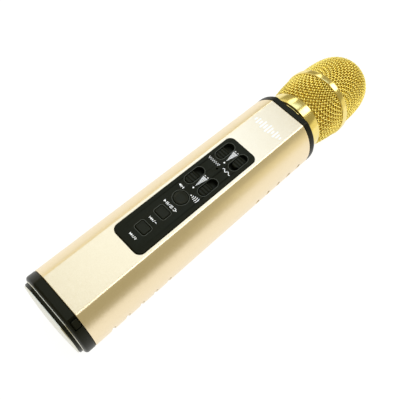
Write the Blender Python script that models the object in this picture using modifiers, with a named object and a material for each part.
"""Karaoke microphone: a cordless handset with its own pair of speakers.

The handset lies on its back.  The long axis is X with the woven head at +X, the control
panel faces +Z, and the object rests on a narrow flat along its back.  Every piece hangs from
the empty "long_axis", whose origin is where the sleeve begins at its bottom end, so the
dimensions below are distances along the handset (x), across it (y) and in front of its
axis (z).
"""
import math

import bmesh
import bpy

MM = 0.001

# ---- driving dimensions -------------------------------------------------------------------
GAP = 0.3 * MM                # clearance between pieces that touch on the real object

BODY_RADIUS = 26.9 * MM       # round back and sides of the sleeve
FRONT_FLAT = 23.0 * MM        # front flat, ahead of the axis
BACK_FLAT = 26.5 * MM         # narrow resting flat, behind the axis
CREASE_RADIUS = 3.0 * MM      # rounding where the front flat meets the round sides
WALL = 1.6 * MM
SLEEVE_LENGTH = 185.0 * MM

CAP_LENGTH = 6.5 * MM         # bottom cap beyond the sleeve
FOOT_START = 7.0 * MM         # foot plate, measured down from the sleeve's bottom end
FOOT_END = 8.6 * MM
FOOT_OFFSET = 2.7 * MM        # its outline from the body's
FOOT_HOLE = 2.5 * MM          # room for a screw's head
DISC_START = 8.9 * MM
DISC_RIM = 9.4 * MM
DISC_END = 10.6 * MM          # the disc is domed, with a flat centre
DISC_OFFSET = 3.4 * MM
DISC_FLAT_SHARE = 0.4         # the flat centre's size beside the whole disc's
DISC_STEPS = 4
SPIGOT_OFFSET = WALL + GAP    # caps plug into the sleeve with rims this far inside its outline
SPIGOT_WALL = 1.2 * MM

COLLAR_TOP = SLEEVE_LENGTH + 5.6 * MM
NECK_RADIUS = 16.7 * MM       # threaded neck that the head screws onto
NECK_TOP = SLEEVE_LENGTH + 14.5 * MM
NECK_BORE = 9.0 * MM
FLANGE_START = SLEEVE_LENGTH - 2.8 * MM
FLANGE_END = SLEEVE_LENGTH - 0.1 * MM
RING_START = SLEEVE_LENGTH + 7.4 * MM
RING_TOP = SLEEVE_LENGTH + 16.5 * MM
RING_RADIUS = 22.5 * MM
BAND_START = SLEEVE_LENGTH + 39.2 * MM
BAND_TOP = SLEEVE_LENGTH + 43.8 * MM
BAND_RADIUS = 26.3 * MM
BASKET_FOOT_RADIUS = 22.1 * MM
BASKET_RADIUS = 25.8 * MM     # woven mesh where it meets the band
BASKET_BULGE = 0.6 * MM
MESH_WALL = 0.9 * MM
DOME_RADIUS = 24.8 * MM
DOME_LENGTH = 40.7 * MM
DOME_POWER = 3.3              # superellipse exponent of the dome's outline
HEAD_TOP = BAND_TOP + GAP + DOME_LENGTH
FOAM_FOOT = RING_TOP + 1.6 * MM
CUP_FLOOR = 217.0 * MM        # the cup that holds the pick-up capsule
CUP_TOP = 226.0 * MM
CAPSULE_RADIUS = 8.0 * MM
CAPSULE_X = (219.0 * MM, 238.0 * MM)

PANEL_START = 44.2 * MM
PANEL_END = 141.7 * MM
PANEL_WIDTH = 23.3 * MM
PANEL_CORNER = 4.2 * MM
PANEL_TOP = FRONT_FLAT + 0.9 * MM
PANEL_UNDERSIDE = 20.6 * MM
BUTTON_X = {"next": 57.5 * MM, "previous": 72.1 * MM, "mode": 86.5 * MM}
BUTTON_OPENING = (6.6 * MM, 8.1 * MM)
BUTTON_CORNER = 1.3 * MM
MODE_RADIUS = 4.8 * MM
BUTTON_TOP = PANEL_TOP + 0.3 * MM
SLIDER_PLACES = {
    "mic": (103.5 * MM, 5.7 * MM),
    "echo": (103.5 * MM, -5.7 * MM),
    "treble": (130.2 * MM, 5.7 * MM),
    "bass": (130.2 * MM, -5.7 * MM),
}
SLIDER_OPENING = (14.4 * MM, 6.0 * MM)
KNOB_SIZE = (10.4 * MM, 5.2 * MM)
KNOB_LOW = -1.5 * MM          # knob centre from the opening's centre at the low stop
BASS_SETTING = 2.6 * MM       # the bass knob rests this far up its travel
RIB_PITCH = 2.4 * MM
LED_X = 117.1 * MM
LED_HOLE = 0.7 * MM

CONTROL_BOARD_Z = (14.4 * MM, 15.6 * MM)
CONTROL_BOARD_SIZE = (118.0 * MM, 29.0 * MM)
CONTROL_BOARD_X = 93.0 * MM
MAIN_BOARD_Z = (7.4 * MM, 8.6 * MM)
MAIN_BOARD_SIZE = (138.0 * MM, 33.0 * MM)
MAIN_BOARD_X = 83.0 * MM
BOARD_CORNER = 1.5 * MM
CHIP_SIZE = (10.0 * MM, 10.0 * MM, 1.6 * MM)
CHIP_X = 105.0 * MM
MODULE_SIZE = (20.0 * MM, 14.0 * MM, 2.2 * MM)
MODULE_X = 68.0 * MM
LED_RADIUS = 1.1 * MM
LED_HEIGHT = 4.0 * MM
CHASSIS_Z = (4.8 * MM, 6.4 * MM)
DECK_X = (6.0 * MM, 178.0 * MM)
DECK_HALF_WIDTH = 18.0 * MM
BULKHEAD_X = [(6.0 * MM, 9.0 * MM), (55.0 * MM, 57.0 * MM),
              (130.0 * MM, 132.0 * MM), (175.0 * MM, 178.0 * MM)]
BULKHEAD_HALF_WIDTH = 17.0 * MM
BULKHEAD_LOW = -14.0 * MM
ON_CONTROL_BOARD = CONTROL_BOARD_Z[1] + GAP
ON_MAIN_BOARD = MAIN_BOARD_Z[1] + GAP
POST_PLACES = [(x * MM, y * MM) for x in (38.0, 148.0) for y in (-10.5, 10.5)]
POST_RADIUS = 2.4 * MM
SCREW_SHANK = 1.0 * MM
SCREW_HOLE = 1.3 * MM
SCREW_LAP = 0.2 * MM          # a shank starts this far inside its head
BOARD_SCREW_HEAD = (2.0 * MM, 1.2 * MM)   # radius and height
BOARD_SCREW_TIP = 8.0 * MM
CAP_SCREW_HEAD = (2.1 * MM, 1.4 * MM)
CAP_SCREW_SHANK = 1.1 * MM
CAP_SCREW_TIP = 10.5 * MM
CAP_SCREW_HOLE = 1.4 * MM
COLLAR_SCREW_HEAD = (1.9 * MM, 1.3 * MM)
COLLAR_SCREW_TIP = SLEEVE_LENGTH + 3.4 * MM
CELL_RADIUS = 9.2 * MM        # a standard round cell, 65 mm long
CELL_X = (60.5 * MM, 125.5 * MM)
CELL_Z = -5.0 * MM

SPEAKER_X = {"lower": 33.5 * MM, "upper": 153.5 * MM}
DRIVER_RADIUS = 15.0 * MM
DRIVER_BORE = 12.6 * MM
DRIVER_RIM_Z = (-17.8 * MM, -15.4 * MM)
MAGNET_RADIUS = 8.5 * MM
MAGNET_Z = (-7.2 * MM, -2.2 * MM)
BASKET_SHEET = 1.5 * MM       # thickness of the driver's frame
CONE_THROAT = 3.5 * MM
CONE_TOP = -12.0 * MM
CONE_PAPER = 0.6 * MM
SLOT_COUNT = 5
SLOT_PITCH = 10.5 * MM
SLOT_SIZE = (3.0 * MM, 17.0 * MM)
SLOT_ANGLE = math.radians(106)  # middle of a slot, round the axis from the front
CLOTH_TOP = 3.0 * MM          # the grille cloth covers every slot and stops below the deck
SOCKET_X = 24.0 * MM
SOCKET_SIZE = (7.8 * MM, 7.8 * MM, 2.7 * MM)
SOCKET_FACE_Y = 23.4 * MM
CAP_SCREW_Y = 14.0 * MM
COLLAR_SCREW_RADIUS = 19.6 * MM
COLLAR_SCREW_ANGLES = (math.pi / 2, math.pi, -math.pi / 2)
LANYARD_ANGLE = math.radians(38)

LENGTH_LOW = -DISC_END
LENGTH_MIDDLE = (LENGTH_LOW + HEAD_TOP) / 2

# ---- colours: base colour, roughness, metallic ------------------------------------------
FINISHES = {
    "champagne_aluminium": ((0.80, 0.66, 0.45), 0.38, 0.9),
    "gold_plate": ((0.83, 0.62, 0.18), 0.18, 1.0),
    "gold_mesh": ((0.78, 0.55, 0.12), 0.30, 1.0),
    "black_plastic": ((0.012, 0.013, 0.011), 0.35, 0.0),
    "panel_black": ((0.016, 0.019, 0.015), 0.30, 0.0),
    "button_black": ((0.020, 0.023, 0.019), 0.40, 0.0),
    "brushed_silver": ((0.72, 0.73, 0.70), 0.30, 1.0),
    "plated_steel": ((0.62, 0.62, 0.60), 0.28, 1.0),
    "board_green": ((0.02, 0.16, 0.06), 0.45, 0.0),
    "inner_plastic": ((0.05, 0.05, 0.05), 0.55, 0.0),
    "foam": ((0.02, 0.017, 0.012), 0.95, 0.0),
    "rubber": ((0.02, 0.02, 0.02), 0.80, 0.0),
    "cell_wrap": ((0.05, 0.20, 0.45), 0.40, 0.0),
    "cone_paper": ((0.03, 0.03, 0.03), 0.85, 0.0),
    "led_lens": ((0.75, 0.85, 0.95), 0.20, 0.0),
}


# ---- scene, materials and placing ------------------------------------------------------
def clear_scene():
    for old in list(bpy.data.objects):
        bpy.data.objects.remove(old, do_unlink=True)


def make_collection(name):
    collection = bpy.data.collections.new(name)
    bpy.context.scene.collection.children.link(collection)
    return collection


def make_material(name):
    colour, roughness, metallic = FINISHES[name]
    material = bpy.data.materials.new(name)
    material.use_nodes = True
    shader = material.node_tree.nodes["Principled BSDF"]
    shader.inputs["Base Color"].default_value = (*colour, 1.0)
    shader.inputs["Roughness"].default_value = roughness
    shader.inputs["Metallic"].default_value = metallic
    material.diffuse_color = (*colour, 1.0)
    return material


def place(name, mesh, finish, location=(0, 0, 0), rotation=(0, 0, 0)):
    """Make a named piece from a mesh and hang it from the long axis."""
    piece = bpy.data.objects.new(name, mesh)
    piece.location = location
    piece.rotation_euler = rotation
    piece.parent = LONG_AXIS
    if finish is None:
        CUTTERS.objects.link(piece)
        piece.hide_render = True
        piece.display_type = "WIRE"
    else:
        PARTS.objects.link(piece)
        mesh.materials.append(MATERIALS[finish])
    return piece


def boolean(piece, operation, tool):
    modifier = piece.modifiers.new(operation.lower(), "BOOLEAN")
    modifier.operation = operation
    modifier.solver = "EXACT"
    modifier.object = tool


def soften(piece, width, segments=2):
    """Round the sharp edges and leave the facets of round walls alone."""
    bevel = piece.modifiers.new("softened_edges", "BEVEL")
    bevel.width = width
    bevel.segments = segments
    bevel.limit_method = "ANGLE"
    bevel.angle_limit = math.radians(40)


def far_out(mesh):
    """A test for points that are further out than three quarters of the farthest one."""
    reach = max(vertex.co.xy.length for vertex in mesh.vertices)

    def is_far_out(point):
        return point.xy.length > 0.75 * reach

    return is_far_out


def round_rim(piece, height, width, segments, outside=None):
    """Round the outer rim of an extruded piece at one local height.

    outside tells whether a point belongs to the outer outline.
    """
    mesh = piece.data
    outside = outside or far_out(mesh)
    rim = bmesh.new()
    rim.from_mesh(mesh)
    weight = rim.edges.layers.float.new("bevel_weight_edge")
    for edge in rim.edges:
        beside_wall = any(abs(face.normal.z) < 0.5 for face in edge.link_faces)
        at_height = all(abs(end.co.z - height) < 1e-6 for end in edge.verts)
        if beside_wall and at_height and all(outside(end.co) for end in edge.verts):
            edge[weight] = 1.0
    rim.to_mesh(mesh)
    rim.free()
    bevel = piece.modifiers.new("rounded_rim", "BEVEL")
    bevel.width = width
    bevel.segments = segments
    bevel.limit_method = "WEIGHT"


# ---- outlines -------------------------------------------------------------------------------
def arc(centre, radius, start, end, steps):
    """Points on an arc, angles measured from the first axis towards the second."""
    points = []
    for step in range(steps + 1):
        angle = start + (end - start) * step / steps
        points.append((centre[0] + radius * math.cos(angle), centre[1] + radius * math.sin(angle)))
    return points


def circle(radius, steps=24, centre=(0.0, 0.0)):
    return arc(centre, radius, 0.0, math.tau, steps)[:-1]


def rounded_rectangle(length, width, corner, centre=(0.0, 0.0), steps=4):
    points = []
    for quarter, (side_x, side_y) in enumerate(((1, 1), (-1, 1), (-1, -1), (1, -1))):
        corner_centre = (
            centre[0] + side_x * (length / 2 - corner),
            centre[1] + side_y * (width / 2 - corner),
        )
        start = quarter * math.pi / 2
        points += arc(corner_centre, corner, start, start + math.pi / 2, steps)
    return points


def stadium(length, width, centre=(0.0, 0.0), steps=8):
    return rounded_rectangle(length, width, width / 2 - 0.001 * MM, centre, steps // 2)


def body_section(offset=0.0, fillet_steps=3, side_steps=13):
    """The handset's cross-section, moved inwards by offset.

    A circle is cut by a wide flat at the front and a narrow one at the back, and the front
    creases are filleted.  Points are (-z, y): the plane that turns into the handset's
    cross-section once the extrusion is turned to run along X.
    """
    radius = BODY_RADIUS - offset
    front = FRONT_FLAT - offset
    back = BACK_FLAT - offset
    fillet = CREASE_RADIUS - offset * 0.5
    centre_z = front - fillet
    centre_y = math.sqrt((radius - fillet) ** 2 - centre_z**2)
    crease_angle = math.atan2(centre_y, centre_z)
    back_angle = math.pi - math.acos(back / radius)
    half = arc((centre_z, centre_y), fillet, 0.0, crease_angle, fillet_steps)
    half += arc((0.0, 0.0), radius, crease_angle, back_angle, side_steps)[1:]
    right = [(-z, y) for z, y in half]
    left = [(-z, -y) for z, y in reversed(half)]
    return right + left


# ---- solids -----------------------------------------------------------------------------------
def outline_mesh(name, outlines, thickness):
    """Fill flat outlines (the first may be pierced by the others) and extrude them both ways."""
    curve = bpy.data.curves.new(name, "CURVE")
    curve.dimensions = "2D"
    curve.fill_mode = "BOTH"
    curve.extrude = thickness / 2
    for outline in outlines:
        spline = curve.splines.new("POLY")
        spline.points.add(len(outline) - 1)
        for point, (first, second) in zip(spline.points, outline):
            point.co = (first, second, 0.0, 1.0)
        spline.use_cyclic_u = True
    holder = bpy.data.objects.new(name + "_outline", curve)
    bpy.context.scene.collection.objects.link(holder)
    evaluated = holder.evaluated_get(bpy.context.evaluated_depsgraph_get())
    mesh = bpy.data.meshes.new_from_object(evaluated)
    bpy.data.objects.remove(holder)
    welded = bmesh.new()
    welded.from_mesh(mesh)
    bmesh.ops.remove_doubles(welded, verts=welded.verts, dist=1e-6)
    bmesh.ops.recalc_face_normals(welded, faces=welded.faces)
    welded.to_mesh(mesh)
    welded.free()
    mesh.name = name
    mesh.materials.clear()
    return mesh


def extruded(name, outlines, start, end, finish):
    """Extrude cross-section outlines along the handset from start to end."""
    mesh = outline_mesh(name, outlines, end - start)
    return place(name, mesh, finish, ((start + end) / 2, 0, 0), (0, math.pi / 2, 0))


def plate(name, outlines, low, high, finish, centre=(0.0, 0.0)):
    """Extrude outlines drawn in the panel's plane, from height low to height high."""
    mesh = outline_mesh(name, outlines, high - low)
    return place(name, mesh, finish, (centre[0], centre[1], (low + high) / 2))


def turned(name, profile, finish, steps=32, upright_at=None):
    """Turn a profile of (radius, height), which runs down its outer side.

    A profile that starts and ends on the axis makes a solid, any other one makes a ring.
    Heights run along the handset, or along Z through upright_at.
    """
    mesh = bpy.data.meshes.new(name)
    count = len(profile)
    edges = [(index, index + 1) for index in range(count - 1)]
    if profile[0][0] > 0:
        edges.append((count - 1, 0))
    mesh.from_pydata([(radius, 0.0, height) for radius, height in profile], edges, [])
    if upright_at is None:
        piece = place(name, mesh, finish, (0, 0, 0), (0, math.pi / 2, 0))
    else:
        piece = place(name, mesh, finish, (*upright_at, 0))
    screw = piece.modifiers.new("turned", "SCREW")
    screw.axis = "Z"
    screw.steps = steps
    screw.render_steps = steps
    screw.use_merge_vertices = True
    screw.merge_threshold = 0.00001
    return piece


def box_mesh(name, boxes):
    """One mesh of separate boxes, each given by its two corners."""
    mesh = bpy.data.meshes.new(name)
    build = bmesh.new()
    for low, high in boxes:
        made = bmesh.ops.create_cube(build, size=1.0)["verts"]
        for vertex in made:
            for axis in range(3):
                middle = (low[axis] + high[axis]) / 2
                vertex.co[axis] = middle + vertex.co[axis] * (high[axis] - low[axis])
    build.to_mesh(mesh)
    build.free()
    return mesh


def box(name, low, high, finish):
    centre = [(a + b) / 2 for a, b in zip(low, high)]
    half = [(b - a) / 2 for a, b in zip(low, high)]
    return place(name, box_mesh(name, [([-h for h in half], half)]), finish, centre)


def rods_mesh(name, rods, along, sides=10):
    """One mesh of separate cylinders: each is (radius, start point, length) along an axis."""
    mesh = bpy.data.meshes.new(name)
    build = bmesh.new()
    for radius, start, length in rods:
        made = bmesh.ops.create_cone(
            build, cap_ends=True, segments=sides, radius1=radius, radius2=radius, depth=length
        )["verts"]
        for vertex in made:
            x, y, z = vertex.co
            offset = (z + length / 2, y, -x) if along == "X" else (x, y, z + length / 2)
            vertex.co = [foot + move for foot, move in zip(start, offset)]
    build.to_mesh(mesh)
    build.free()
    return mesh


def around(angle, radius):
    """(y, z) of a point round the handset's axis, angle from the front towards -Y."""
    return -radius * math.sin(angle), radius * math.cos(angle)


def lofted(name, sections, finish):
    """A solid through cross-section outlines with equal counts: each is (x, outline)."""
    build = bmesh.new()
    rings = []
    for x, outline in sections:
        rings.append([build.verts.new((x, across, -up)) for up, across in outline])
    build.faces.new(rings[0])
    build.faces.new(rings[-1])
    for first, second in zip(rings, rings[1:]):
        for index in range(len(first)):
            after = (index + 1) % len(first)
            build.faces.new((first[index], first[after], second[after], second[index]))
    bmesh.ops.recalc_face_normals(build, faces=build.faces)
    mesh = bpy.data.meshes.new(name)
    build.to_mesh(mesh)
    build.free()
    return place(name, mesh, finish)


# ---- sleeve ---------------------------------------------------------------------------------
def slot_cutters():
    """Radial stadium blocks that open the speaker slots, left and right of the back."""
    build = bmesh.new()
    outline = rounded_rectangle(SLOT_SIZE[0], SLOT_SIZE[1], SLOT_SIZE[0] * 0.3, steps=1)
    for centre_x in SPEAKER_X.values():
        for number in range(SLOT_COUNT):
            slot_x = centre_x + (number - (SLOT_COUNT - 1) / 2) * SLOT_PITCH
            for side in (-1, 1):
                rings = []
                for radius in (BODY_RADIUS * 0.8, BODY_RADIUS * 1.1):
                    middle = around(side * SLOT_ANGLE, radius)
                    across = around(side * SLOT_ANGLE + math.pi / 2, 1.0)
                    ring = []
                    for along_x, tangent in outline:
                        spot = (slot_x + along_x, middle[0] + across[0] * tangent,
                                middle[1] + across[1] * tangent)
                        ring.append(build.verts.new(spot))
                    rings.append(ring)
                build.faces.new(rings[0])
                build.faces.new(rings[1])
                for index in range(len(outline)):
                    after = (index + 1) % len(outline)
                    build.faces.new((rings[0][index], rings[0][after],
                                     rings[1][after], rings[1][index]))
    bmesh.ops.recalc_face_normals(build, faces=build.faces)
    mesh = bpy.data.meshes.new("slot_cutters")
    build.to_mesh(mesh)
    build.free()
    return place("slot_cutters", mesh, None)


def make_sleeve():
    sleeve = extruded(
        "body_sleeve", [body_section(), body_section(WALL)], 0.0, SLEEVE_LENGTH,
        "champagne_aluminium",
    )
    window = plate(
        "panel_window",
        [rounded_rectangle(PANEL_END - PANEL_START + 2 * GAP, PANEL_WIDTH + 2 * GAP,
                           PANEL_CORNER + GAP)],
        PANEL_UNDERSIDE - 1.0 * MM, FRONT_FLAT + 1.0 * MM, None,
        ((PANEL_START + PANEL_END) / 2, 0.0),
    )
    boolean(sleeve, "DIFFERENCE", window)
    boolean(sleeve, "DIFFERENCE", slot_cutters())
    half = SOCKET_SIZE[0] / 2 + 0.4 * MM
    socket_opening = box(
        "socket_opening",
        (SOCKET_X - half, 18.0 * MM, ON_MAIN_BOARD - GAP),
        (SOCKET_X + half, BODY_RADIUS + 2.0 * MM, ON_MAIN_BOARD + SOCKET_SIZE[2] + GAP), None,
    )
    boolean(sleeve, "DIFFERENCE", socket_opening)


# ---- control panel ------------------------------------------------------------------------
def make_panel():
    middle = (PANEL_START + PANEL_END) / 2
    outlines = [rounded_rectangle(PANEL_END - PANEL_START, PANEL_WIDTH, PANEL_CORNER, steps=6)]
    for name in ("next", "previous"):
        centre = (BUTTON_X[name] - middle, 0.0)
        outlines.append(rounded_rectangle(*BUTTON_OPENING, BUTTON_CORNER, centre, 3))
    outlines.append(circle(MODE_RADIUS, 24, (BUTTON_X["mode"] - middle, 0.0)))
    for x, y in SLIDER_PLACES.values():
        outlines.append(stadium(*SLIDER_OPENING, (x - middle, y)))
    outlines.append(circle(LED_HOLE, 10, (LED_X - middle, 0.0)))
    panel = plate(
        "control_panel", outlines, PANEL_UNDERSIDE, PANEL_TOP, "panel_black", (middle, 0.0)
    )

    def on_outline(point):
        past_corner = abs(point.x) > (PANEL_END - PANEL_START) / 2 - PANEL_CORNER
        return past_corner or abs(point.y) > PANEL_WIDTH / 2 - 1.0 * MM

    round_rim(panel, (PANEL_TOP - PANEL_UNDERSIDE) / 2, 0.6 * MM, 2, on_outline)


def make_square_button(name):
    """A square cap with a wide foot that stays under the panel."""
    x = BUTTON_X[name]
    length, width = (size - 2 * GAP for size in BUTTON_OPENING)
    foot_low = PANEL_UNDERSIDE - 1.2 * MM
    foot_high = PANEL_UNDERSIDE - GAP
    cap = plate(
        name + "_button", [rounded_rectangle(length, width, BUTTON_CORNER - GAP, steps=3)],
        foot_high - 0.4 * MM, BUTTON_TOP, "button_black", (x, 0.0),
    )
    round_rim(cap, (BUTTON_TOP - foot_high + 0.4 * MM) / 2, 0.35 * MM, 2)
    foot = box(
        name + "_button_foot",
        (x - 4.2 * MM, -4.7 * MM, foot_low), (x + 4.2 * MM, 4.7 * MM, foot_high), None,
    )
    boolean(cap, "UNION", foot)


def make_mode_button():
    """A round button with a raised rim round a shallow dish, and a wide foot."""
    foot_low = PANEL_UNDERSIDE - 1.2 * MM
    foot_high = PANEL_UNDERSIDE - GAP
    radius = MODE_RADIUS - GAP
    dish_radius = 3.7 * MM
    dish_depth = 0.35 * MM
    profile = [
        (0.0, BUTTON_TOP - dish_depth),
        (dish_radius - 0.8 * MM, BUTTON_TOP - dish_depth + 0.06 * MM),
        (dish_radius, BUTTON_TOP - 0.08 * MM),
        (dish_radius + 0.25 * MM, BUTTON_TOP),
        (radius - 0.2 * MM, BUTTON_TOP),
        (radius, BUTTON_TOP - 0.2 * MM),
        (radius, foot_high),
        (radius + 1.1 * MM, foot_high),
        (radius + 1.1 * MM, foot_low),
        (0.0, foot_low),
    ]
    turned("mode_button", profile, "button_black", 24, (BUTTON_X["mode"], 0.0))


def make_switches():
    """A square switch housing under each button, and the plunger that the button pushes."""
    housing_top = ON_CONTROL_BOARD + 2.4 * MM
    for name, x in BUTTON_X.items():
        housing = box(
            name + "_switch", (x - 3.0 * MM, -3.0 * MM, ON_CONTROL_BOARD),
            (x + 3.0 * MM, 3.0 * MM, housing_top), "inner_plastic",
        )
        well = place(
            name + "_switch_well",
            rods_mesh(name + "_switch_well",
                      [(1.8 * MM, (x, 0.0, ON_CONTROL_BOARD + 0.3 * MM), 4.0 * MM)], "Z"),
            None,
        )
        boolean(housing, "DIFFERENCE", well)
        plunger_low = ON_CONTROL_BOARD + 1.0 * MM
        plunger_top = PANEL_UNDERSIDE - 1.2 * MM - GAP
        mesh = rods_mesh(name + "_plunger", [(1.5 * MM, (0, 0, 0), plunger_top - plunger_low)], "Z")
        place(name + "_plunger", mesh, "plated_steel", (x, 0.0, plunger_low))


# ---- sliders --------------------------------------------------------------------------------
def knob_profile():
    """Side view of a slider knob: ribs over the low part, then a ramp down to the high end."""
    half = KNOB_SIZE[0] / 2
    base = PANEL_UNDERSIDE - 0.6 * MM
    crown = PANEL_TOP - 0.35 * MM
    rib_top = PANEL_TOP + 0.25 * MM
    points = [(-half, base), (half, base), (half, crown - 1.6 * MM)]
    points.append((-half + 3.3 * RIB_PITCH, crown))
    for number in (3, 2, 1, 0):
        middle = -half + 0.75 * MM + number * (RIB_PITCH - 0.15 * MM)
        points.append((middle + 0.75 * MM, crown))
        points.append((middle + 0.3 * MM, rib_top))
        points.append((middle - 0.3 * MM, rib_top))
        if number:
            points.append((middle - 0.75 * MM, crown))
    points.append((-half, crown))
    return points


def make_slider(name):
    """A ribbed knob, its skirt under the panel and its lever, all one moulding."""
    opening_x, y = SLIDER_PLACES[name]
    x = opening_x + KNOB_LOW + (BASS_SETTING if name == "bass" else 0.0)
    mesh = outline_mesh(name + "_slider", [knob_profile()], KNOB_SIZE[1])
    knob = place(name + "_slider", mesh, "button_black", (x, y, 0.0), (math.pi / 2, 0, 0))
    plan = plate(
        name + "_knob_plan", [stadium(*KNOB_SIZE)], PANEL_UNDERSIDE - 2.0 * MM,
        PANEL_TOP + 2.0 * MM, None, (x, y),
    )
    boolean(knob, "INTERSECT", plan)
    skirt_high = PANEL_UNDERSIDE - GAP
    skirt_low = skirt_high - 1.0 * MM
    skirt = box(
        name + "_skirt", (x - 6.4 * MM, y - 3.1 * MM, skirt_low),
        (x + 6.4 * MM, y + 3.1 * MM, skirt_high), None,
    )
    boolean(knob, "UNION", skirt)
    lever = box(
        name + "_lever", (x - 1.5 * MM, y - 0.6 * MM, ON_CONTROL_BOARD + 1.2 * MM),
        (x + 1.5 * MM, y + 0.6 * MM, skirt_low + 0.4 * MM), None,
    )
    boolean(knob, "UNION", lever)


def make_slide_pot(name):
    """The slide potentiometer's case, with the slot that the lever runs in."""
    x, y = SLIDER_PLACES[name]
    case = box(
        name + "_pot", (x - 8.4 * MM, y - 3.4 * MM, ON_CONTROL_BOARD),
        (x + 8.4 * MM, y + 3.4 * MM, ON_CONTROL_BOARD + 2.9 * MM), "plated_steel",
    )
    slot = box(
        name + "_pot_slot", (x - 3.6 * MM, y - 0.9 * MM, ON_CONTROL_BOARD + 0.8 * MM),
        (x + 3.6 * MM, y + 0.9 * MM, ON_CONTROL_BOARD + 4.0 * MM), None,
    )
    boolean(case, "DIFFERENCE", slot)


# ---- boards, chassis and battery ---------------------------------------------------------
def make_boards():
    for name, size, centre_x, heights, hole in (
        ("control_board", CONTROL_BOARD_SIZE, CONTROL_BOARD_X, CONTROL_BOARD_Z, SCREW_HOLE),
        ("main_board", MAIN_BOARD_SIZE, MAIN_BOARD_X, MAIN_BOARD_Z, POST_RADIUS + 0.4 * MM),
    ):
        holes = [circle(hole, 12, (x - centre_x, y)) for x, y in POST_PLACES]
        outlines = [rounded_rectangle(*size, BOARD_CORNER, steps=2), *holes]
        plate(name, outlines, *heights, "board_green", (centre_x, 0.0))
    for name, size, centre_x, finish in (
        ("amplifier_chip", CHIP_SIZE, CHIP_X, "inner_plastic"),
        ("wireless_module", MODULE_SIZE, MODULE_X, "plated_steel"),
    ):
        length, width, height = size
        box(name, (centre_x - length / 2, -width / 2, ON_MAIN_BOARD),
            (centre_x + length / 2, width / 2, ON_MAIN_BOARD + height), finish)
    led = rods_mesh("status_led", [(LED_RADIUS, (0, 0, 0), LED_HEIGHT)], "Z")
    place("status_led", led, "led_lens", (LED_X, 0.0, ON_CONTROL_BOARD))
    length, depth, height = SOCKET_SIZE
    shell = 0.45 * MM
    socket = box(
        "charging_socket", (SOCKET_X - length / 2, SOCKET_FACE_Y - depth, ON_MAIN_BOARD),
        (SOCKET_X + length / 2, SOCKET_FACE_Y, ON_MAIN_BOARD + height), "plated_steel",
    )
    mouth = box(
        "socket_mouth",
        (SOCKET_X - length / 2 + shell, SOCKET_FACE_Y - 5.9 * MM, ON_MAIN_BOARD + shell),
        (SOCKET_X + length / 2 - shell, SOCKET_FACE_Y + 1.6 * MM, ON_MAIN_BOARD + height - shell),
        None,
    )
    boolean(socket, "DIFFERENCE", mouth)


def make_chassis():
    """Deck with bulkheads that part the two speaker chambers from the battery bay."""
    chassis = box(
        "inner_chassis", (DECK_X[0], -DECK_HALF_WIDTH, CHASSIS_Z[0]),
        (DECK_X[1], DECK_HALF_WIDTH, CHASSIS_Z[1]), "inner_plastic",
    )
    half = BULKHEAD_HALF_WIDTH
    top = CHASSIS_Z[0] + 0.6 * MM
    ribs = [((start, -half, BULKHEAD_LOW), (end, half, top)) for start, end in BULKHEAD_X]
    boolean(chassis, "UNION", place("bulkheads", box_mesh("bulkheads", ribs), None))
    post_foot = CHASSIS_Z[0] + 0.5 * MM
    post_height = CONTROL_BOARD_Z[0] - GAP - post_foot
    posts = [(POST_RADIUS, (x, y, post_foot), post_height) for x, y in POST_PLACES]
    boolean(chassis, "UNION", place("posts", rods_mesh("posts", posts, "Z"), None))
    hole_floor = BOARD_SCREW_TIP - 0.5 * MM
    screw_holes = [(SCREW_HOLE, (x, y, hole_floor), 8.0 * MM) for x, y in POST_PLACES]
    tool = place("post_holes", rods_mesh("post_holes", screw_holes, "Z"), None)
    boolean(chassis, "DIFFERENCE", tool)
    end_holes = []
    for y in (-CAP_SCREW_Y, CAP_SCREW_Y):
        end_holes.append((CAP_SCREW_HOLE, (DECK_X[0] - 2.0 * MM, y, 0.0), 8.0 * MM))
    tool = place("end_holes", rods_mesh("end_holes", end_holes, "X"), None)
    boolean(chassis, "DIFFERENCE", tool)


def make_battery():
    """A round rechargeable cell with a raised positive cap."""
    start, end = CELL_X
    edge = 0.6 * MM
    cap_radius = 3.0 * MM
    cap_height = 1.2 * MM
    profile = [
        (0.0, end + cap_height), (cap_radius, end + cap_height), (cap_radius, end),
        (CELL_RADIUS - edge, end), (CELL_RADIUS, end - edge), (CELL_RADIUS, start + edge),
        (CELL_RADIUS - edge, start), (0.0, start),
    ]
    cell = turned("battery_cell", profile, "cell_wrap", 20)
    cell.location.z = CELL_Z


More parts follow.
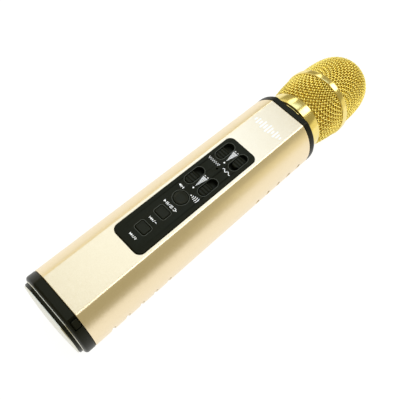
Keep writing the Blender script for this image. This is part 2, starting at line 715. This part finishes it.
def make_speaker(name):
    """A round driver that faces the back: frame, paper cone and magnet."""
    centre = (SPEAKER_X[name], 0.0)
    frame_top = MAGNET_Z[0] - GAP
    frame_inside = frame_top - BASKET_SHEET
    rim_low, rim_high = DRIVER_RIM_Z
    frame_profile = [
        (0.0, frame_top), (MAGNET_RADIUS + 0.5 * MM, frame_top),
        (DRIVER_RADIUS - 0.6 * MM, rim_high + 0.2 * MM), (DRIVER_RADIUS, rim_high),
        (DRIVER_RADIUS, rim_low), (DRIVER_BORE, rim_low), (DRIVER_BORE, rim_high - 1.0 * MM),
        (MAGNET_RADIUS - 0.5 * MM, frame_inside), (0.0, frame_inside),
    ]
    cone_radius = DRIVER_BORE - 0.4 * MM
    cone_profile = [
        (0.0, CONE_TOP - 0.9 * MM), (CONE_THROAT, CONE_TOP),
        (cone_radius, rim_low + 2 * CONE_PAPER), (cone_radius, rim_low + CONE_PAPER),
        (CONE_THROAT + 0.1 * MM, CONE_TOP - 0.7 * MM), (0.0, CONE_TOP - 2.2 * MM),
    ]
    magnet_low, magnet_high = MAGNET_Z
    magnet_profile = [
        (0.0, magnet_high), (MAGNET_RADIUS, magnet_high), (MAGNET_RADIUS, magnet_low),
        (0.0, magnet_low),
    ]
    for piece, profile, finish in (
        ("frame", frame_profile, "plated_steel"),
        ("cone", cone_profile, "cone_paper"),
        ("magnet", magnet_profile, "plated_steel"),
    ):
        turned(name + "_speaker_" + piece, profile, finish, 20, centre)


def make_grille_cloth(name):
    """A strip of cloth that lines the back of the sleeve behind one group of slots."""
    half = (SLOT_COUNT - 1) / 2 * SLOT_PITCH + 3.5 * MM
    offset = WALL + GAP
    room_for_spigot = 5.4 * MM
    start = max(SPEAKER_X[name] - half, room_for_spigot)
    end = min(SPEAKER_X[name] + half, SLEEVE_LENGTH - room_for_spigot)
    cloth = extruded(
        name + "_grille_cloth", [body_section(offset), body_section(offset + 0.5 * MM)],
        start, end, "cone_paper",
    )
    keep = box(
        name + "_cloth_keep", (start - 1 * MM, -2 * BODY_RADIUS, -2 * BODY_RADIUS),
        (end + 1 * MM, 2 * BODY_RADIUS, CLOTH_TOP), None,
    )
    boolean(cloth, "INTERSECT", keep)


# ---- bottom end ------------------------------------------------------------------------------
def radial_box(name, angle, tangent, along, depth, finish):
    """A box set square to the body's side: spans across, along X and below the surface."""
    low = (along[0], tangent[0], BODY_RADIUS - depth[1])
    high = (along[1], tangent[1], BODY_RADIUS - depth[0])
    piece = place(name, box_mesh(name, [(low, high)]), finish)
    piece.rotation_euler = (angle, 0, 0)
    return piece


def make_bottom_end():
    cap = extruded("bottom_cap", [body_section()], -CAP_LENGTH, -GAP, "black_plastic")
    round_rim(cap, -(CAP_LENGTH - GAP) / 2, 1.8 * MM, 2)
    hollow_offset = SPIGOT_OFFSET + SPIGOT_WALL
    hollow = extruded(
        "cap_hollow", [body_section(hollow_offset)], -CAP_LENGTH + 3.0 * MM, 1.0 * MM, None
    )
    boolean(cap, "DIFFERENCE", hollow)
    spigot = extruded(
        "cap_spigot", [body_section(SPIGOT_OFFSET), body_section(hollow_offset)],
        -GAP - 0.5 * MM, 5.0 * MM, None,
    )
    boolean(cap, "UNION", spigot)
    recess = radial_box(
        "lanyard_recess", LANYARD_ANGLE, (-3.8 * MM, 3.8 * MM), (-4.9 * MM, 0.0 * MM),
        (-2.0 * MM, 2.3 * MM), None,
    )
    boolean(cap, "DIFFERENCE", recess)
    holes = [(1.4 * MM, (-10.0 * MM, y, 0.0), 8.0 * MM) for y in (-CAP_SCREW_Y, CAP_SCREW_Y)]
    boolean(cap, "DIFFERENCE", place("cap_holes", rods_mesh("cap_holes", holes, "X"), None))
    bar = radial_box(
        "lanyard_bar", LANYARD_ANGLE, (-3.4 * MM, 1.6 * MM), (-4.1 * MM, -0.6 * MM),
        (0.5 * MM, 2.0 * MM), "black_plastic",
    )
    soften(bar, 0.3 * MM)

    outlines = [body_section(FOOT_OFFSET)]
    outlines += [circle(FOOT_HOLE, 12, (0.0, y)) for y in (-CAP_SCREW_Y, CAP_SCREW_Y)]
    foot = extruded("foot_plate", outlines, -FOOT_END, -FOOT_START, "black_plastic")
    round_rim(foot, -(FOOT_END - FOOT_START) / 2, 0.5 * MM, 1)
    make_end_disc()


def make_end_disc():
    """A plate that follows the body's outline and domes gently to its flat centre."""
    outline = body_section(DISC_OFFSET)
    sections = [(-DISC_START, outline)]
    for step in range(DISC_STEPS + 1):
        share = step / DISC_STEPS
        size = 1 - (1 - DISC_FLAT_SHARE) * share
        rise = (DISC_END - DISC_RIM) * (1 - (1 - share) ** 2)
        smaller = [(up * size, across * size) for up, across in outline]
        sections.append((-DISC_RIM - rise, smaller))
    lofted("end_disc", sections, "brushed_silver")


# ---- screws ------------------------------------------------------------------------------------
def collar_screw_spots():
    return [around(angle, COLLAR_SCREW_RADIUS) for angle in COLLAR_SCREW_ANGLES]


def drill_for_collar_screws(piece, start, depth):
    holes = [(SCREW_HOLE, (start, y, z), depth) for y, z in collar_screw_spots()]
    label = piece.name + "_holes"
    boolean(piece, "DIFFERENCE", place(label, rods_mesh(label, holes, "X"), None))


def screws(name, along, places, head, shank):
    """Pan-head screws, one at each place: head is (radius, start, end), and so is shank."""
    axis = 0 if along == "X" else 2
    for number, spot in enumerate(places, 1):
        rods = []
        for radius, start, end in (head, shank):
            point = list(spot)
            point.insert(axis, start)
            rods.append([(radius, tuple(point), end - start)])
        label = f"{name}_{number}"
        screw = place(label, rods_mesh(label, rods[0], along), "plated_steel")
        tool = place(label + "_shank", rods_mesh(label + "_shank", rods[1], along), None)
        boolean(screw, "UNION", tool)


def make_screws():
    radius, height = CAP_SCREW_HEAD
    seat = -FOOT_START
    screws(
        "cap_screw", "X", [(-CAP_SCREW_Y, 0.0), (CAP_SCREW_Y, 0.0)],
        (radius, seat - height, seat), (CAP_SCREW_SHANK, seat - SCREW_LAP, CAP_SCREW_TIP),
    )
    radius, height = BOARD_SCREW_HEAD
    seat = ON_CONTROL_BOARD
    screws(
        "board_screw", "Z", POST_PLACES,
        (radius, seat, seat + height), (SCREW_SHANK, BOARD_SCREW_TIP, seat + SCREW_LAP),
    )
    radius, height = COLLAR_SCREW_HEAD
    seat = FLANGE_START - GAP
    screws(
        "collar_screw", "X", collar_screw_spots(),
        (radius, seat - height, seat), (SCREW_SHANK, seat - SCREW_LAP, COLLAR_SCREW_TIP),
    )


# ---- top end and head ------------------------------------------------------------------------
def make_top_collar():
    collar = extruded(
        "top_collar", [body_section(), circle(NECK_RADIUS + GAP, 32)],
        SLEEVE_LENGTH + GAP, COLLAR_TOP, "black_plastic",
    )
    round_rim(collar, (COLLAR_TOP - SLEEVE_LENGTH - GAP) / 2, 1.6 * MM, 2)
    spigot = extruded(
        "collar_spigot",
        [body_section(SPIGOT_OFFSET), body_section(SPIGOT_OFFSET + SPIGOT_WALL)],
        SLEEVE_LENGTH - 4.8 * MM, SLEEVE_LENGTH + GAP + 0.5 * MM, None,
    )
    boolean(collar, "UNION", spigot)
    drill_for_collar_screws(collar, SLEEVE_LENGTH - 1.0 * MM, 4.8 * MM)


def make_neck():
    """The neck that carries the head: a D-shaped flange in the sleeve and a round tube."""
    offset = SPIGOT_OFFSET + SPIGOT_WALL + 0.4 * MM
    neck = extruded(
        "threaded_neck", [body_section(offset), circle(NECK_BORE, 20)],
        FLANGE_START, FLANGE_END, "inner_plastic",
    )
    chamfer = 0.6 * MM
    foot = SLEEVE_LENGTH - 1.0 * MM
    floor = SLEEVE_LENGTH + 1.0 * MM
    floor_bore = NECK_BORE + 0.5 * MM
    inner_radius = NECK_RADIUS - 3.2 * MM
    tube = [
        (NECK_RADIUS - chamfer, NECK_TOP), (NECK_RADIUS, NECK_TOP - chamfer),
        (NECK_RADIUS, foot), (floor_bore, foot), (floor_bore, floor),
        (inner_radius, floor), (inner_radius, NECK_TOP),
    ]
    boolean(neck, "UNION", turned("neck_tube", tube, None, 28))
    drill_for_collar_screws(neck, SLEEVE_LENGTH - 4.0 * MM, 5.0 * MM)


def dome_profile(inset, points):
    """(radius, height) from the dome's tip down to its rim, moved inwards by inset."""
    rim = BAND_TOP + GAP
    length = DOME_LENGTH - inset
    radius = DOME_RADIUS - inset
    power = 2 / DOME_POWER
    profile = []
    for step in range(points + 1):
        angle = math.pi / 2 * (1 - step / points)
        height = length * math.sin(angle) ** power
        reach = radius * max(math.cos(angle), 0.0) ** power
        profile.append((reach if step else 0.0, rim + height))
    return profile


def basket_profile(inset, points, start=None):
    """(radius, height) from the lower basket's top rim down to its foot."""
    top = BAND_START - GAP
    foot = RING_TOP + GAP if start is None else start
    profile = []
    for step in range(points + 1):
        share = 1 - step / points
        radius = BASKET_FOOT_RADIUS + (BASKET_RADIUS - BASKET_FOOT_RADIUS) * share
        radius += BASKET_BULGE * math.sin(math.pi * share)
        profile.append((radius - inset, foot + (top - foot) * share))
    return profile


def make_head():
    washer_low = COLLAR_TOP + GAP
    washer_high = RING_START - GAP
    washer_radius = RING_RADIUS - 1.0 * MM
    washer_bore = NECK_RADIUS + 0.5 * MM
    washer = [
        (washer_radius, washer_high), (washer_radius, washer_low),
        (washer_bore, washer_low), (washer_bore, washer_high),
    ]
    turned("head_washer", washer, "rubber")

    bore = NECK_RADIUS + GAP
    ring = [
        (RING_RADIUS, RING_TOP), (RING_RADIUS, RING_START), (bore, RING_START), (bore, RING_TOP),
    ]
    soften(turned("head_base_ring", ring, "gold_plate"), 0.4 * MM, 1)

    outer = basket_profile(0.0, 4)
    inner = basket_profile(MESH_WALL, 4)
    turned("lower_basket", outer + inner[::-1], "gold_mesh")

    band = [
        (BAND_RADIUS, BAND_TOP), (BAND_RADIUS, BAND_START),
        (BAND_RADIUS - 1.6 * MM, BAND_START), (BAND_RADIUS - 1.6 * MM, BAND_TOP),
    ]
    soften(turned("band_ring", band, "gold_plate"), 0.7 * MM, 1)

    outer = dome_profile(0.0, 9)
    inner = dome_profile(MESH_WALL, 9)
    turned("upper_dome", outer + inner[::-1], "gold_mesh")

    foam_outer = dome_profile(MESH_WALL + 0.5 * MM, 7)
    foam_outer += basket_profile(MESH_WALL + 1.6 * MM, 3, FOAM_FOOT)
    foam_inner = dome_profile(MESH_WALL + 3.6 * MM, 7)
    foam_inner += basket_profile(MESH_WALL + 4.2 * MM, 3, FOAM_FOOT)
    turned("foam_windscreen", foam_outer + foam_inner[::-1], "foam", 24)


def make_capsule():
    """The pick-up: a capsule in a rubber cradle, in a cup on a post that stands in the neck."""
    cup_radius = 13.0 * MM
    cup_bore = 11.8 * MM
    cup_foot = CUP_TOP - 11.5 * MM
    stem_radius = 7.0 * MM
    stem_top = cup_foot - 2.5 * MM
    bore = 4.5 * MM
    base_radius = 13.2 * MM
    base_low = SLEEVE_LENGTH + 1.3 * MM
    base_high = base_low + 2.5 * MM
    post = [
        (cup_radius, CUP_TOP), (cup_radius, cup_foot), (stem_radius, stem_top),
        (stem_radius, base_high), (base_radius, base_high), (base_radius, base_low),
        (bore, base_low), (bore, CUP_FLOOR), (cup_bore, CUP_FLOOR), (cup_bore, CUP_TOP),
    ]
    cradle_radius = cup_bore - GAP
    cradle_bore = CAPSULE_RADIUS + GAP
    cradle_low = CUP_FLOOR + GAP
    cradle_high = CUP_TOP + 1.5 * MM
    cradle = [
        (cradle_radius, cradle_high), (cradle_radius, cradle_low),
        (cradle_bore, cradle_low), (cradle_bore, cradle_high),
    ]
    edge = 1.0 * MM
    capsule_low, capsule_high = CAPSULE_X
    capsule = [
        (0.0, capsule_high), (CAPSULE_RADIUS - edge, capsule_high),
        (CAPSULE_RADIUS, capsule_high - edge), (CAPSULE_RADIUS, capsule_low), (0.0, capsule_low),
    ]
    turned("capsule_post", post, "inner_plastic", 20)
    turned("capsule_cradle", cradle, "rubber", 20)
    turned("microphone_capsule", capsule, "plated_steel", 20)


# ---- assembly ---------------------------------------------------------------------------------
def build_microphone():
    make_sleeve()
    make_panel()
    for name in ("next", "previous"):
        make_square_button(name)
    make_mode_button()
    make_switches()
    for name in SLIDER_PLACES:
        make_slider(name)
        make_slide_pot(name)
    make_boards()
    make_chassis()
    make_battery()
    for name in SPEAKER_X:
        make_speaker(name)
        make_grille_cloth(name)
    make_bottom_end()
    make_top_collar()
    make_neck()
    make_head()
    make_capsule()
    make_screws()


clear_scene()
PARTS = make_collection("karaoke_microphone")
CUTTERS = make_collection("cutters")
MATERIALS = {name: make_material(name) for name in FINISHES}
LONG_AXIS = bpy.data.objects.new("long_axis", None)
LONG_AXIS.location = (-LENGTH_MIDDLE, 0.0, BACK_FLAT)
bpy.context.scene.collection.objects.link(LONG_AXIS)
build_microphone()
bpy.context.view_layer.update()
